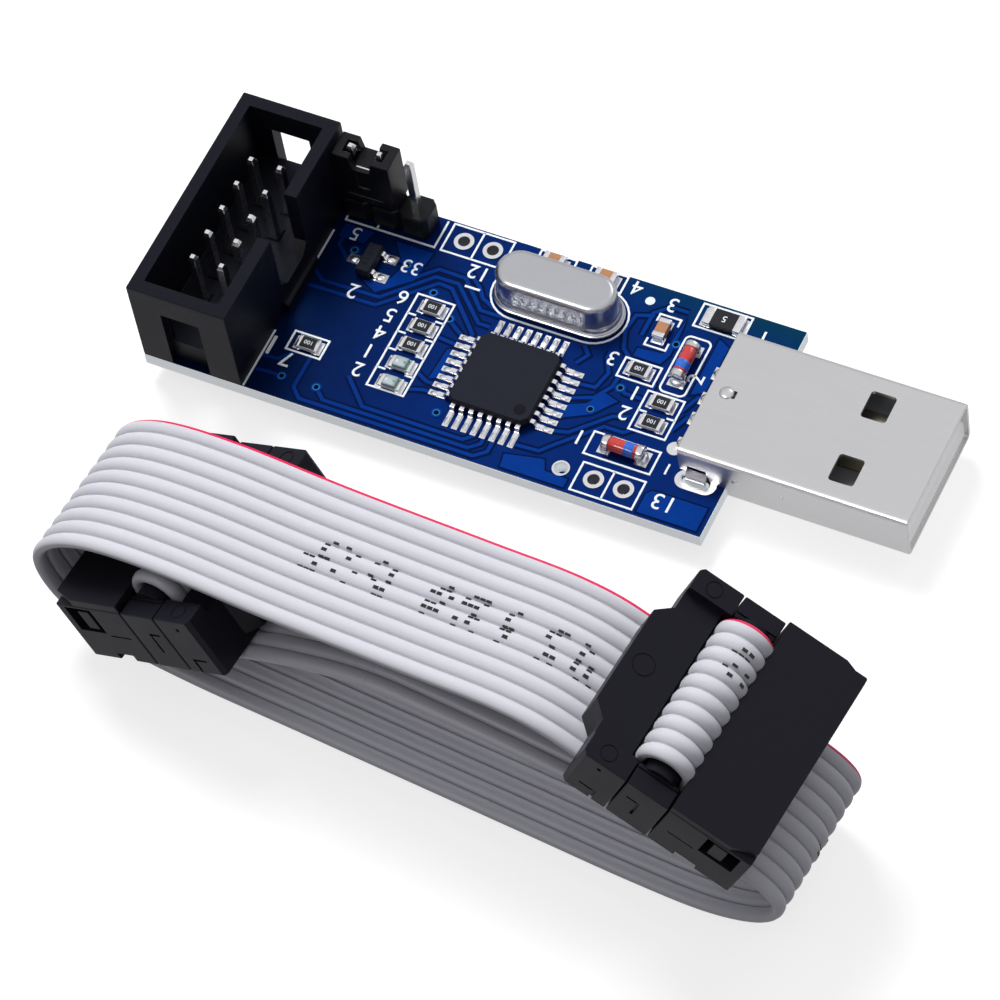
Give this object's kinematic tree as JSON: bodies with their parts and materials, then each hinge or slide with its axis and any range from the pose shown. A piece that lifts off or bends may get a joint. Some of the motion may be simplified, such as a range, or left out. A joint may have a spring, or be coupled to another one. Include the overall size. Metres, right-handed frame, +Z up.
{
  "type": "usb microcontroller programmer",
  "caption": "Small blue circuit board with a USB plug, a shrouded pin header and a jumper, and a flat grey ribbon cable with a black socket at each end.",
  "frame": {"origin": "bottom centre of the overall box of board and cable, on the table plane", "axes": "+X along the board from the pin header to the USB plug's mouth, +Y from the board's front edge to its back edge, +Z up"},
  "size_m": [0.0692, 0.0522, 0.022],
  "materials": {
    "board": "glossy blue solder mask",
    "black_plastic": "satin moulded",
    "chip_epoxy": "fine matt moulded epoxy",
    "tinned_pin": "bright tin plating",
    "gilt_contact": "thin gold plating",
    "plated_steel": "satin nickel plating",
    "white_plastic": "moulded",
    "resistor_film": "printed film on ceramic",
    "capacitor_ceramic": "fired ceramic",
    "led_lens": "milky lens",
    "diode_glass": "clear red glass",
    "ribbon_vinyl": "soft satin vinyl"
  },
  "bodies": {
    "board": {"circuit_board": "board", "header_shroud": "black_plastic", "header_pin_1": "tinned_pin", "header_pin_2": "tinned_pin", "header_pin_3": "tinned_pin", "header_pin_4": "tinned_pin", "header_pin_5": "tinned_pin", "header_pin_6": "tinned_pin", "header_pin_7": "tinned_pin", "header_pin_8": "tinned_pin", "header_pin_9": "tinned_pin", "header_pin_10": "tinned_pin", "jumper_header_base": "black_plastic", "jumper_pin_1": "tinned_pin", "jumper_pin_2": "tinned_pin", "jumper_pin_3": "tinned_pin", "microcontroller": "chip_epoxy", "crystal_base": "plated_steel", "crystal_can": "plated_steel", "voltage_regulator": "chip_epoxy", "resistor_1": "resistor_film", "resistor_2": "resistor_film", "resistor_3": "resistor_film", "resistor_4": "resistor_film", "resistor_5": "resistor_film", "resistor_6": "resistor_film", "resistor_7": "resistor_film", "led_1": "led_lens", "led_2": "led_lens", "capacitor_1": "capacitor_ceramic", "capacitor_2": "capacitor_ceramic", "capacitor_3": "capacitor_ceramic", "fuse": "resistor_film", "diode_1": "diode_glass", "diode_2": "diode_glass", "usb_shell": "plated_steel", "usb_tongue": "white_plastic", "usb_contact_1": "gilt_contact", "usb_contact_2": "gilt_contact", "usb_contact_3": "gilt_contact", "usb_contact_4": "gilt_contact"},
    "jumper_cap": {"jumper_shunt": "black_plastic", "shunt_contact": "tinned_pin"},
    "cable": {"ribbon_middle": "ribbon_vinyl"},
    "socket_a": {"socket_a_body": "black_plastic", "socket_a_cover": "black_plastic", "socket_a_strain_relief": "black_plastic", "socket_a_contacts_1": "tinned_pin", "socket_a_contacts_2": "tinned_pin", "ribbon_end_a": "ribbon_vinyl"},
    "socket_b": {"socket_b_body": "black_plastic", "socket_b_cover": "black_plastic", "socket_b_strain_relief": "black_plastic", "socket_b_contacts_1": "tinned_pin", "socket_b_contacts_2": "tinned_pin", "ribbon_end_b": "ribbon_vinyl"}
  },
  "joints": [
    {"name": "jumper_lift", "type": "slide", "parent": "board", "child": "jumper_cap", "axis": [0, 0, 1], "range_m": [0, 0.007]},
    {"name": "cable_lift", "type": "slide", "parent": "board", "child": "cable", "axis": [0, 0, 1], "range_m": [0, 0.03]},
    {"name": "socket_a_tilt", "type": "hinge", "parent": "cable", "child": "socket_a", "pos_m": [0.0165, -0.01596, 0.01662], "axis": [-0.0872, -0.9962, 0], "range_deg": [0, 25]},
    {"name": "socket_b_tilt", "type": "hinge", "parent": "cable", "child": "socket_b", "pos_m": [-0.0095, -0.01368, 0.00932], "axis": [0.0872, 0.9962, 0], "range_deg": [0, 5]}
  ]
}
